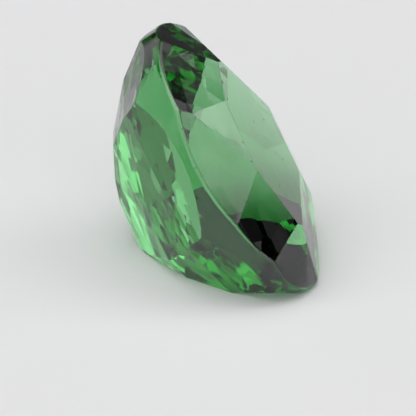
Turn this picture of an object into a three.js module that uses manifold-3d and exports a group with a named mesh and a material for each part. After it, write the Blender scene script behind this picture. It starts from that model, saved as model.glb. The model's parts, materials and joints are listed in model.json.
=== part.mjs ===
// A loose oval mixed-cut garnet, standing on one of its lower facets. Millimetres, +Z up.
// The stone is cut in its own frame: length along X, width along Y, the table facing +Z
// and the top edge of the girdle at Z = 0. It is then turned over onto its resting facet.

import * as THREE from "three";
import { mergeVertices } from "three/addons/utils/BufferGeometryUtils.js";
import Module from "manifold-3d";

// Driving dimensions, in millimetres and degrees
const LENGTH = 8.5;
const WIDTH = 5.6;
const CROWN_HEIGHT = 0.8;

// Crown facets. Each slopes down from the table in the direction of its azimuth,
// and edge is the distance from the stone's axis to the line where it meets the table.
const CROWN_FACETS = [
  { azimuth: -117, slope: 24.5, edge: 1.52 }, // near side, from one end to the other
  { azimuth: -94.5, slope: 21.1, edge: 1.21 },
  { azimuth: -81, slope: 31.2, edge: 1.39 },
  { azimuth: -65, slope: 26.5, edge: 1.57 },
  { azimuth: -11, slope: 32, edge: 2.76 }, // the lower end
  { azimuth: 11, slope: 32, edge: 2.76 },
  { azimuth: 53.5, slope: 28.3, edge: 1.45 }, // far side
  { azimuth: 89, slope: 26, edge: 1.04 },
  { azimuth: 134, slope: 28.5, edge: 1.45 },
  { azimuth: 173.5, slope: 30, edge: 2.41 }, // the upper end
  { azimuth: -173.5, slope: 30, edge: 2.41 },
];

// Pavilion facets. Each faces down and outwards in the direction of its azimuth, slope is its
// angle to the table, and distance is how far it lies from the middle of the girdle's top edge.
const PAVILION_FACETS = [
  { azimuth: -90, slope: 62, distance: 2.63 }, // near side, from the girdle down
  { azimuth: -90, slope: 54, distance: 2.67 },
  { azimuth: -90, slope: 46.5, distance: 2.86 },
  { azimuth: -130, slope: 65, distance: 3.36 }, // near shoulders
  { azimuth: -130, slope: 54.5, distance: 3.38 },
  { azimuth: -130, slope: 39.8, distance: 3.55 },
  { azimuth: -49, slope: 64.5, distance: 3.36 },
  { azimuth: -49, slope: 54.5, distance: 3.38 },
  { azimuth: -49, slope: 39.8, distance: 3.55 },
  { azimuth: 0, slope: 60.4, distance: 3.875 }, // the lower end
  { azimuth: 87.5, slope: 59.5, distance: 2.91 }, // far side
  { azimuth: 87.5, slope: 54.5, distance: 2.9 },
  { azimuth: 98.5, slope: 40.5, distance: 3.08 },
  { azimuth: 42.5, slope: 60, distance: 3.25 }, // far shoulders
  { azimuth: 126, slope: 67.5, distance: 3.06 },
  { azimuth: 116, slope: 56.5, distance: 2.79 },
  { azimuth: 155.5, slope: 46.5, distance: 3.21 },
  { azimuth: -163.5, slope: 58, distance: 3.9 }, // the upper end
];

// The wider facet on the lower far side, on which the stone stands
const REST_FACET = { azimuth: 27.2, slope: 49.2, distance: 3.2 };
const TURN = -41.6; // about the vertical, once it stands: the table then faces +X

const OUTLINE_POINTS = 144;
const BLANK_TOP = 2; // the uncut blank reaches past the finished stone
const BLANK_BOTTOM = -6;
const CUTTER = 20; // edge of the block that a flat cut takes away
const WELD = 1e-3; // vertices closer than this are one

const COLOUR = 0x5aa866;
const ROUGHNESS = 0.05;

const UP = new THREE.Vector3(0, 0, 1);
const DOWN = new THREE.Vector3(0, 0, -1);

function cos(degrees) {
  return Math.cos(THREE.MathUtils.degToRad(degrees));
}

function sin(degrees) {
  return Math.sin(THREE.MathUtils.degToRad(degrees));
}

// The outward normal of a facet that faces up (the crown) or down (the pavilion)
function facetNormal(azimuth, slope, facing) {
  return new THREE.Vector3(
    sin(slope) * cos(azimuth),
    sin(slope) * sin(azimuth),
    facing * cos(slope),
  );
}

// Each plane is a normal and its distance from the origin
function crownPlanes() {
  const table = { normal: UP, distance: CROWN_HEIGHT };
  const facets = CROWN_FACETS.map(({ azimuth, slope, edge }) => ({
    normal: facetNormal(azimuth, slope, 1),
    distance: cos(slope) * CROWN_HEIGHT + sin(slope) * edge,
  }));
  return [table, ...facets];
}

function pavilionPlanes() {
  return PAVILION_FACETS.map(({ azimuth, slope, distance }) => ({
    normal: facetNormal(azimuth, slope, -1),
    distance,
  }));
}

// The uncut blank: an upright prism on the stone's oval outline
function blankGeometry() {
  const outline = new THREE.Shape();
  outline.absellipse(0, 0, LENGTH / 2, WIDTH / 2, 0, 2 * Math.PI, false, 0);
  const prism = new THREE.ExtrudeGeometry(outline, {
    depth: BLANK_TOP - BLANK_BOTTOM,
    bevelEnabled: false,
    curveSegments: OUTLINE_POINTS / 2, // an ellipse takes two points for each
  });
  return prism.translate(0, 0, BLANK_BOTTOM);
}

// The block that lies beyond a plane
function cutterGeometry({ normal, distance }) {
  return new THREE.BoxGeometry(CUTTER, CUTTER, CUTTER)
    .translate(0, 0, distance + CUTTER / 2)
    .applyQuaternion(new THREE.Quaternion().setFromUnitVectors(UP, normal));
}

function solidFrom(wasm, geometry) {
  const bare = geometry.clone();
  bare.deleteAttribute("normal");
  bare.deleteAttribute("uv");
  const welded = mergeVertices(bare, WELD);
  return new wasm.Manifold(
    new wasm.Mesh({
      numProp: 3,
      vertProperties: welded.attributes.position.array,
      triVerts: new Uint32Array(welded.index.array),
    }),
  );
}

function geometryFrom(solid) {
  const mesh = solid.getMesh();
  const geometry = new THREE.BufferGeometry();
  geometry.setAttribute(
    "position",
    new THREE.BufferAttribute(mesh.vertProperties, mesh.numProp),
  );
  geometry.setIndex(new THREE.BufferAttribute(mesh.triVerts, 1));
  return geometry;
}

// Cuts the blank flat by flat, as the stone was cut
async function cutStone(planes) {
  const wasm = await Module();
  wasm.setup();
  let stone = solidFrom(wasm, blankGeometry());
  for (const plane of planes) {
    stone = stone.subtract(solidFrom(wasm, cutterGeometry(plane)));
  }
  return geometryFrom(stone);
}

const restNormal = facetNormal(REST_FACET.azimuth, REST_FACET.slope, -1);
const restPlane = { normal: restNormal, distance: REST_FACET.distance };

const garnet = new THREE.Mesh(
  await cutStone([...crownPlanes(), ...pavilionPlanes(), restPlane]),
  new THREE.MeshStandardMaterial({
    color: COLOUR,
    roughness: ROUGHNESS,
    metalness: 0,
    flatShading: true,
  }),
);
garnet.name = "garnet";
garnet.quaternion.setFromUnitVectors(restNormal, DOWN);

// Turned to face the right way and set down, with its outline centred on the origin
const part = new THREE.Group();
part.add(garnet);
part.rotation.z = THREE.MathUtils.degToRad(TURN);
part.updateMatrixWorld(true);
const box = new THREE.Box3().setFromObject(part, true);
part.position.set(
  -(box.min.x + box.max.x) / 2,
  -(box.min.y + box.max.y) / 2,
  -box.min.z,
);

export default part;
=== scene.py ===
import json
import math

import bmesh
import bpy
from mathutils import Matrix, Vector

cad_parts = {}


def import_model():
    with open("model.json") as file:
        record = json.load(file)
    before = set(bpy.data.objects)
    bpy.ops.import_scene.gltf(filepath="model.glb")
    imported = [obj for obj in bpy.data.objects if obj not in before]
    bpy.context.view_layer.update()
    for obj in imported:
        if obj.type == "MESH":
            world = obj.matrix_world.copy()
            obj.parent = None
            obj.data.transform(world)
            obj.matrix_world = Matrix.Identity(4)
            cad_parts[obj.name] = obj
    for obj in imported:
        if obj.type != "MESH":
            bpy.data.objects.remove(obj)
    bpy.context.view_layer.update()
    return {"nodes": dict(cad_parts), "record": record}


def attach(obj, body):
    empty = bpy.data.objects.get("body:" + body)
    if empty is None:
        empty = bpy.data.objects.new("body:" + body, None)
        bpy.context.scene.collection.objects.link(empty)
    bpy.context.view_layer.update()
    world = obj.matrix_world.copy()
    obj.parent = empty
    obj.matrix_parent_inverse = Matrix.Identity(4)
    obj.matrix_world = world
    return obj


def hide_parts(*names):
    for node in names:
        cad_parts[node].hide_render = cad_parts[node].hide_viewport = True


MM = 0.001

# The photograph's view
CENTRE_OF_FRAME = Vector((-0.22, -0.6, 1.77)) * MM  # what the camera looks at
VIEW_ELEVATION = math.radians(24.8)
VIEW_ROLL = math.radians(1.6)  # the upright leans this far to the right in the picture
FRAME_WIDTH = 11.41 * MM  # width of what the picture shows, at the stone
LENS_MM = 1000
SENSOR_MM = 36
CLIP_START = 1 * MM

# The stone's mesh, in millimetres
WELD = 2e-3
TOUCH = 3e-4  # a corner this near to a cut lies on it
FLAT = math.radians(0.4)  # neighbouring triangles closer than this are one facet
SMOOTH = math.radians(6)  # the girdle's strips meet at less than this, facets at more
SLIVER = 2e-3  # a face smaller than this has no edge worth rounding
LEVEL = 0.999  # the table's normal leans at least this far along the axis
UPRIGHT = 0.05  # a girdle strip's normal leans no further than this along the stone's axis
RIM_WIDTH = 0.09  # the polished rounding between the crown and the girdle, on either side
RIM_STEPS = 5
EDGE_WIDTH = 0.018  # the tiny rounding along every other facet edge
EDGE_STEPS = 2

# The stone's substance
GARNET_IOR = 1.74
ABSORPTION_COLOUR = (0.15, 0.7, 0.25, 1)
ABSORPTION_DENSITY = 480  # per metre

# Its polish: how far apart the marks lie, how deep they are and how much their lines wander
LAP_LINES = 0.35 * MM
LAP_DEPTH = 0.0002 * MM
LAP_WANDER = 5
WAVINESS = 0.9 * MM
WAVE_DEPTH = 0.0012 * MM
FLATS = (0.8 * MM, 0.42 * MM, 0.42 * MM)  # length, width and height of a flat in a facet
FLATS_START = (0.37 * MM, 0.21 * MM, 0.13 * MM)  # where their pattern begins
SMEARS = 0.7 * MM
SCRATCHES = 1.1 * MM
SCRATCH_TURN = (1.2, 0.2, 2.1)  # how the scratches lie in the stone, as angles about its axes
SCRATCH_WANDER = 9
SCRATCHED_PATCHES = 0.8 * MM
WORN_SPOTS = 0.25 * MM
PITS = 0.55 * MM
PIT_SIZE = 0.075  # as a share of their spacing

# Each kind of mark fades in between two values of its pattern
SMEARED = (0.52, 0.75)
SCRATCHED = (0.992, 0.998)
PATCHED = (0.55, 0.62)
WORN = (0.35, 0.7)
PITTED = (PIT_SIZE, PIT_SIZE * 2 / 3)

# The patterns themselves
BANDS_APART = math.pi / 10  # before they are scaled
BAND_DETAIL = 3
BAND_DETAIL_SCALE = 0.4
MEAN_OF_CELLS = (0.5, 0.5, 0.5)

# How much the flats of each part are out of line, as a share of the normal
UNEVENNESS = {"table": 0.005, "crown": 0.06, "girdle": 0.05, "pavilion": 0.12}

POLISH_ROUGHNESS = 0.012
SMEAR_ROUGHNESS = 0.06
SCRATCH_ROUGHNESS = 0.16
EDGE_ROUGHNESS = 0.28
PIT_COLOUR = (0.32, 0.4, 0.33, 1)
WHITE = (1, 1, 1, 1)

FLOOR_COLOUR = (0.86, 0.86, 0.87, 1)
FLOOR_REACH = 0.5  # from its middle to its edge, in metres
FLOOR_SHEEN = 0.2
FLOOR_ROUGHNESS = (0.4, 0.55)
GRAIN = 0.4 * MM
GRAIN_DEPTH = 0.0004 * MM
GRAINED = (0.3, 0.7)

# Soft lights around the stone. Azimuth is measured from straight behind it towards the right
# of the picture, and the light fades out between the inner and the outer angle from its middle.
LIGHTS = {
    "right in front, low": {"azimuth": 130, "elevation": 4, "inner": 8, "outer": 24, "strength": 1.7},
    "right behind, low": {"azimuth": 40, "elevation": 4, "inner": 4, "outer": 16, "strength": 1.25},
    "behind, faint": {"azimuth": 6, "elevation": 6, "inner": 14, "outer": 36, "strength": 0.1},
    "left behind, low": {"azimuth": 310, "elevation": 10, "inner": 8, "outer": 24, "strength": 0.8},
    "in front, low": {"azimuth": 180, "elevation": 15, "inner": 22, "outer": 55, "strength": 0.75},
    "right": {"azimuth": 70, "elevation": 32, "inner": 4, "outer": 14, "strength": 1.5},
    "high right": {"azimuth": 80, "elevation": 52, "inner": 8, "outer": 24, "strength": 1.7},
    "left": {"azimuth": 260, "elevation": 46, "inner": 8, "outer": 24, "strength": 0.8},
    "left, lower": {"azimuth": 250, "elevation": 28, "inner": 4, "outer": 16, "strength": 1},
    "in front, broad": {"azimuth": 210, "elevation": 55, "inner": 22, "outer": 55, "strength": 0.7},
    "high in front": {"azimuth": 230, "elevation": 70, "inner": 8, "outer": 24, "strength": 0.9},
    "overhead": {"azimuth": 0, "elevation": 80, "inner": 14, "outer": 36, "strength": 1.2},
}

# How often light may turn on its way, and how often of these by a reflection
BOUNCES = 32
GLOSSY_BOUNCES = 16

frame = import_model()
TABLE = next(mount for mount in frame["record"]["mounts"] if mount["name"] == "table")
AXIS = Vector(TABLE["axis"])  # the stone's own upright, out of the table
LENGTHWISE = Vector((0.449, -0.587, -0.673))  # along the stone, towards its lower end
X_AXIS = Vector((1, 0, 0))


def new_material(name):
    material = bpy.data.materials.new(name)
    material.use_nodes = True
    return material, material.node_tree.nodes, material.node_tree.links


def part_of(face):
    lean = face.normal.dot(AXIS)
    return "girdle" if abs(lean) < UPRIGHT else "crown" if lean > 0 else "pavilion"


def edge_cuts(edge, width, steps):
    """The planes that round an edge: each a point on it and its normal."""
    first, second = (face.normal for face in edge.link_faces)
    angle = edge.calc_face_angle()
    radius = width / math.tan(angle / 2)
    middle = (edge.verts[0].co + edge.verts[1].co) / 2
    centre = middle - radius * (first + second) / (1 + first.dot(second))
    cuts = []
    for step in range(steps):
        normal = first.slerp(second, (step + 1) / (steps + 1))
        cuts.append((centre + radius * normal, normal))
    return cuts


def cut(points, faces, place, normal):
    """Takes away what lies beyond a plane, closes the stone there and gives back its faces."""
    heights = [(point - place).dot(normal) for point in points]
    outside = [height > TOUCH for height in heights]
    inside = [height < -TOUCH for height in heights]
    crossings, following, kept = {}, {}, []

    def crossing(out, back):
        if (out, back) not in crossings:
            crossings[out, back] = len(points)
            share = heights[out] / (heights[out] - heights[back])
            points.append(points[out].lerp(points[back], share))
        return crossings[out, back]

    for corners, is_rounding in faces:
        if not any(outside[corner] for corner in corners):
            kept.append((corners, is_rounding))
            continue
        while outside[corners[0]] or not outside[corners[-1]]:
            if all(outside[corner] for corner in corners):
                break
            corners = corners[1:] + corners[:1]
        rest = [corner for corner in corners if not outside[corner]]
        if not rest:
            continue
        first, last = rest[0], rest[-1]
        if inside[first]:
            rest = [crossing(corners[-1], first)] + rest
        if inside[last]:
            rest = rest + [crossing(corners[corners.index(last) + 1], last)]
        if any(inside[corner] for corner in corners):
            kept.append((rest, is_rounding))
            following[rest[0]] = rest[-1]
        else:
            following.update(zip(rest, rest[1:]))
    while following:
        start, corner = following.popitem()
        ring = [start]
        while corner != start and corner in following:
            ring.append(corner)
            corner = following.pop(corner)
        if len(ring) > 2:
            kept.append((ring, True))
    return kept


def polish(mesh):
    """Facets stay flat and the girdle round, and the roundings turn from one to the other."""
    rounding = [value.value == 1 for value in mesh.attributes["rounding"].data]
    girdle = [part_of(face) == "girdle" and not rounding[face.index] for face in mesh.polygons]
    faces_at = [[] for vertex in mesh.vertices]
    for face in mesh.polygons:
        for vertex in face.vertices:
            faces_at[vertex].append(face)
    normals = []
    for face in mesh.polygons:
        for vertex in face.vertices:
            around = faces_at[vertex]
            if girdle[face.index]:
                around = [other for other in around if girdle[other.index]]
            elif rounding[face.index]:
                around = [other for other in around if not rounding[other.index]] or around
            else:
                around = [face]
            normals.append(sum((other.normal for other in around), Vector()).normalized())
    mesh.normals_split_custom_set(normals)


def whole_facets(source):
    """The CAD solid in millimetres, its triangles joined into flat facets."""
    bm = bmesh.new()
    bm.from_mesh(source)
    bmesh.ops.scale(bm, vec=Vector((1, 1, 1)) / MM, verts=bm.verts)
    bmesh.ops.remove_doubles(bm, verts=bm.verts, dist=WELD)
    bmesh.ops.dissolve_limit(bm, angle_limit=FLAT, verts=bm.verts, edges=bm.edges)
    bmesh.ops.recalc_face_normals(bm, faces=bm.faces)
    return bm


def rounded_mesh(source):
    """The stone with its edges finely rounded, by narrow cuts along each of them."""
    bm = whole_facets(source)
    cuts = []
    for edge in bm.edges:
        if min(face.calc_area() for face in edge.link_faces) < SLIVER:
            continue
        if {part_of(face) for face in edge.link_faces} == {"crown", "girdle"}:
            cuts += edge_cuts(edge, RIM_WIDTH, RIM_STEPS)
        elif edge.calc_face_angle() > SMOOTH:
            cuts += edge_cuts(edge, EDGE_WIDTH, EDGE_STEPS)
    bm.verts.index_update()
    points = [vert.co.copy() for vert in bm.verts]
    faces = [([vert.index for vert in face.verts], False) for face in bm.faces]
    for place, normal in cuts:
        faces = cut(points, faces, place, normal)

    bm.clear()
    rounding = bm.faces.layers.int.new("rounding")
    unevenness = bm.faces.layers.float.new("unevenness")
    used = sorted({corner for corners, is_rounding in faces for corner in corners})
    verts = {corner: bm.verts.new(points[corner] * MM) for corner in used}
    for corners, is_rounding in faces:
        face = bm.faces.new([verts[corner] for corner in corners])
        face.smooth = True
        face[rounding] = is_rounding
        face.normal_update()
        is_table = face.normal.dot(AXIS) > LEVEL
        face[unevenness] = UNEVENNESS["table" if is_table else part_of(face)]
    mesh = bpy.data.meshes.new("garnet_stone")
    bm.to_mesh(mesh)
    bm.free()
    polish(mesh)
    return mesh


def noise(nodes, links, place, size, detail):
    texture = nodes.new("ShaderNodeTexNoise")
    texture.inputs["Scale"].default_value = 1 / size
    texture.inputs["Detail"].default_value = detail
    links.new(place, texture.inputs["Vector"])
    return texture.outputs["Fac"]


def band(nodes, links, value, start, end, low=0.0, high=1.0):
    """The value carried from start..end to low..high, softly."""
    ramp = nodes.new("ShaderNodeMapRange")
    ramp.interpolation_type = "SMOOTHSTEP"
    ramp.inputs["From Min"].default_value = start
    ramp.inputs["From Max"].default_value = end
    ramp.inputs["To Min"].default_value = low
    ramp.inputs["To Max"].default_value = high
    links.new(value, ramp.inputs["Value"])
    return ramp.outputs["Result"]


def reckon(nodes, links, operation, first, second):
    node = nodes.new("ShaderNodeMath")
    node.operation = operation
    for value, socket in zip((first, second), node.inputs):
        if isinstance(value, (int, float)):
            socket.default_value = value
        else:
            links.new(value, socket)
    return node.outputs["Value"]


def lines(nodes, links, place, spacing, turn, wander):
    """Parallel bands, turned by three angles and a little bent."""
    turned = nodes.new("ShaderNodeMapping")
    turned.inputs["Rotation"].default_value = turn
    links.new(place, turned.inputs["Vector"])
    wave = nodes.new("ShaderNodeTexWave")
    wave.inputs["Scale"].default_value = BANDS_APART / spacing
    wave.inputs["Distortion"].default_value = wander
    wave.inputs["Detail"].default_value = BAND_DETAIL
    wave.inputs["Detail Scale"].default_value = BAND_DETAIL_SCALE
    links.new(turned.outputs["Vector"], wave.inputs["Vector"])
    return wave.outputs["Fac"]


def bump(nodes, links, height, distance, normal=None):
    node = nodes.new("ShaderNodeBump")
    node.inputs["Distance"].default_value = distance
    links.new(height, node.inputs["Height"])
    if normal is not None:
        links.new(normal, node.inputs["Normal"])
    return node.outputs["Normal"]


def vector_maths(nodes, links, operation, *values):
    node = nodes.new("ShaderNodeVectorMath")
    node.operation = operation
    for value, socket in zip(values, node.inputs):
        if isinstance(value, tuple):
            socket.default_value = value
        else:
            links.new(value, socket)
    return node.outputs["Vector"]


def flats(nodes, links, place):
    """A hand-cut facet is made of a few flats, each tilted a touch from the others."""
    in_line = nodes.new("ShaderNodeMapping")
    in_line.vector_type = "TEXTURE"
    in_line.inputs["Rotation"].default_value = X_AXIS.rotation_difference(LENGTHWISE).to_euler()
    in_line.inputs["Location"].default_value = FLATS_START
    in_line.inputs["Scale"].default_value = FLATS
    links.new(place, in_line.inputs["Vector"])
    cells = nodes.new("ShaderNodeTexVoronoi")
    cells.inputs["Scale"].default_value = 1
    links.new(in_line.outputs["Vector"], cells.inputs["Vector"])
    tilt = vector_maths(nodes, links, "SUBTRACT", cells.outputs["Color"], MEAN_OF_CELLS)
    unevenness = nodes.new("ShaderNodeAttribute")
    unevenness.attribute_name = "unevenness"
    tilt = vector_maths(nodes, links, "MULTIPLY", tilt, unevenness.outputs["Vector"])
    facing = nodes.new("ShaderNodeNewGeometry").outputs["Normal"]
    turned = vector_maths(nodes, links, "ADD", facing, tilt)
    return vector_maths(nodes, links, "NORMALIZE", turned)


def garnet_material():
    material, nodes, links = new_material("garnet")
    surface = nodes["Principled BSDF"]
    surface.inputs["IOR"].default_value = GARNET_IOR
    surface.inputs["Transmission Weight"].default_value = 1
    place = nodes.new("ShaderNodeTexCoord").outputs["Object"]

    # Facets: flats, waviness, faint lap lines, and smears where the polish is duller
    level = AXIS.rotation_difference(X_AXIS).to_euler()  # lines level with the girdle
    lap = lines(nodes, links, place, LAP_LINES, level, LAP_WANDER)
    waves = noise(nodes, links, place, WAVINESS, detail=1)
    normal = bump(nodes, links, waves, WAVE_DEPTH, flats(nodes, links, place))
    normal = bump(nodes, links, lap, LAP_DEPTH, normal)
    links.new(normal, surface.inputs["Normal"])
    smears = band(nodes, links, noise(nodes, links, place, SMEARS, detail=4), *SMEARED)
    roughness = reckon(nodes, links, "MULTIPLY", smears, SMEAR_ROUGHNESS)
    roughness = reckon(nodes, links, "ADD", roughness, POLISH_ROUGHNESS)

    # A few hairline scratches: thin slices of long bent bands, where a broad patch lets them show
    hairs = lines(nodes, links, place, SCRATCHES, SCRATCH_TURN, SCRATCH_WANDER)
    hairs = band(nodes, links, hairs, *SCRATCHED)
    patches = noise(nodes, links, place, SCRATCHED_PATCHES, detail=2)
    patches = band(nodes, links, patches, *PATCHED)
    hairs = reckon(nodes, links, "MULTIPLY", hairs, patches)
    hairs = reckon(nodes, links, "MULTIPLY", hairs, SCRATCH_ROUGHNESS)
    roughness = reckon(nodes, links, "MAXIMUM", roughness, hairs)

    # Edges: worn dull here and there along their fine roundings
    rounding = nodes.new("ShaderNodeAttribute")
    rounding.attribute_name = "rounding"
    worn = band(nodes, links, noise(nodes, links, place, WORN_SPOTS, detail=3), *WORN)
    worn = reckon(nodes, links, "MULTIPLY", worn, rounding.outputs["Fac"])
    worn = reckon(nodes, links, "MULTIPLY", worn, EDGE_ROUGHNESS)
    roughness = reckon(nodes, links, "MAXIMUM", roughness, worn)
    links.new(roughness, surface.inputs["Roughness"])

    # Pits and specks: a few pinpoints that hold back the light
    specks = nodes.new("ShaderNodeTexVoronoi")
    specks.inputs["Scale"].default_value = 1 / PITS
    links.new(place, specks.inputs["Vector"])
    pits = band(nodes, links, specks.outputs["Distance"], *PITTED)
    colour = nodes.new("ShaderNodeMix")
    colour.data_type = "RGBA"
    colour.inputs["A"].default_value = WHITE
    colour.inputs["B"].default_value = PIT_COLOUR
    links.new(pits, colour.inputs["Factor"])
    links.new(colour.outputs["Result"], surface.inputs["Base Color"])

    absorption = nodes.new("ShaderNodeVolumeAbsorption")
    absorption.inputs["Color"].default_value = ABSORPTION_COLOUR
    absorption.inputs["Density"].default_value = ABSORPTION_DENSITY
    links.new(absorption.outputs["Volume"], nodes["Material Output"].inputs["Volume"])
    return material


def floor():
    """A plain pale table top: satin, with a grain too fine to cast a shadow."""
    reach = FLOOR_REACH
    mesh = bpy.data.meshes.new("floor")
    corners = [(-reach, -reach, 0), (reach, -reach, 0), (reach, reach, 0), (-reach, reach, 0)]
    mesh.from_pydata(corners, [], [(0, 1, 2, 3)])
    piece = bpy.data.objects.new("floor", mesh)
    bpy.context.scene.collection.objects.link(piece)
    material, nodes, links = new_material("floor")
    surface = nodes["Principled BSDF"]
    surface.inputs["Base Color"].default_value = FLOOR_COLOUR
    surface.inputs["Specular IOR Level"].default_value = FLOOR_SHEEN
    place = nodes.new("ShaderNodeTexCoord").outputs["Object"]
    grain = noise(nodes, links, place, GRAIN, detail=4)
    roughness = band(nodes, links, grain, *GRAINED, *FLOOR_ROUGHNESS)
    links.new(roughness, surface.inputs["Roughness"])
    links.new(bump(nodes, links, grain, GRAIN_DEPTH), surface.inputs["Normal"])
    mesh.materials.append(material)


def direction(azimuth, elevation):
    azimuth, elevation = math.radians(azimuth), math.radians(elevation)
    return (
        math.cos(elevation) * math.sin(azimuth),
        math.cos(elevation) * math.cos(azimuth),
        math.sin(elevation),
    )


def world():
    studio = bpy.data.worlds.new("studio")
    bpy.context.scene.world = studio
    studio.use_nodes = True
    nodes, links = studio.node_tree.nodes, studio.node_tree.links
    coordinates = nodes.new("ShaderNodeTexCoord")
    total = 0
    for name, light in LIGHTS.items():
        towards = nodes.new("ShaderNodeVectorMath")
        towards.operation = "DOT_PRODUCT"
        towards.label = name
        links.new(coordinates.outputs["Generated"], towards.inputs[0])
        towards.inputs[1].default_value = direction(light["azimuth"], light["elevation"])
        fade = nodes.new("ShaderNodeMapRange")
        fade.interpolation_type = "SMOOTHSTEP"
        fade.inputs["From Min"].default_value = math.cos(math.radians(light["outer"]))
        fade.inputs["From Max"].default_value = math.cos(math.radians(light["inner"]))
        fade.inputs["To Min"].default_value = 0
        fade.inputs["To Max"].default_value = light["strength"]
        links.new(towards.outputs["Value"], fade.inputs["Value"])
        total = reckon(nodes, links, "ADD", total, fade.outputs["Result"])
    links.new(total, nodes["Background"].inputs["Strength"])
    nodes["Background"].inputs["Color"].default_value = WHITE


def camera():
    data = bpy.data.cameras.new("camera")
    data.lens = LENS_MM
    data.sensor_width = SENSOR_MM
    data.clip_start = CLIP_START
    distance = FRAME_WIDTH * LENS_MM / SENSOR_MM
    back = Vector((0, -math.cos(VIEW_ELEVATION), math.sin(VIEW_ELEVATION)))
    up = back.cross(X_AXIS)
    rolled_right = X_AXIS * math.cos(VIEW_ROLL) + up * math.sin(VIEW_ROLL)
    rolled_up = up * math.cos(VIEW_ROLL) - X_AXIS * math.sin(VIEW_ROLL)
    turn = Matrix((rolled_right, rolled_up, back)).transposed()
    piece = bpy.data.objects.new("camera", data)
    piece.matrix_world = Matrix.Translation(CENTRE_OF_FRAME + back * distance) @ turn.to_4x4()
    bpy.context.scene.collection.objects.link(piece)
    bpy.context.scene.camera = piece


def stone():
    node = frame["nodes"]["garnet"]
    piece = bpy.data.objects.new("garnet_stone", rounded_mesh(node.data))
    bpy.context.scene.collection.objects.link(piece)
    piece.data.materials.append(garnet_material())
    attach(piece, "root")
    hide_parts("garnet")


scene = bpy.context.scene
scene.view_settings.view_transform = "Standard"
scene.cycles.max_bounces = BOUNCES
scene.cycles.transmission_bounces = BOUNCES
scene.cycles.glossy_bounces = GLOSSY_BOUNCES

camera()
world()
floor()
stone()
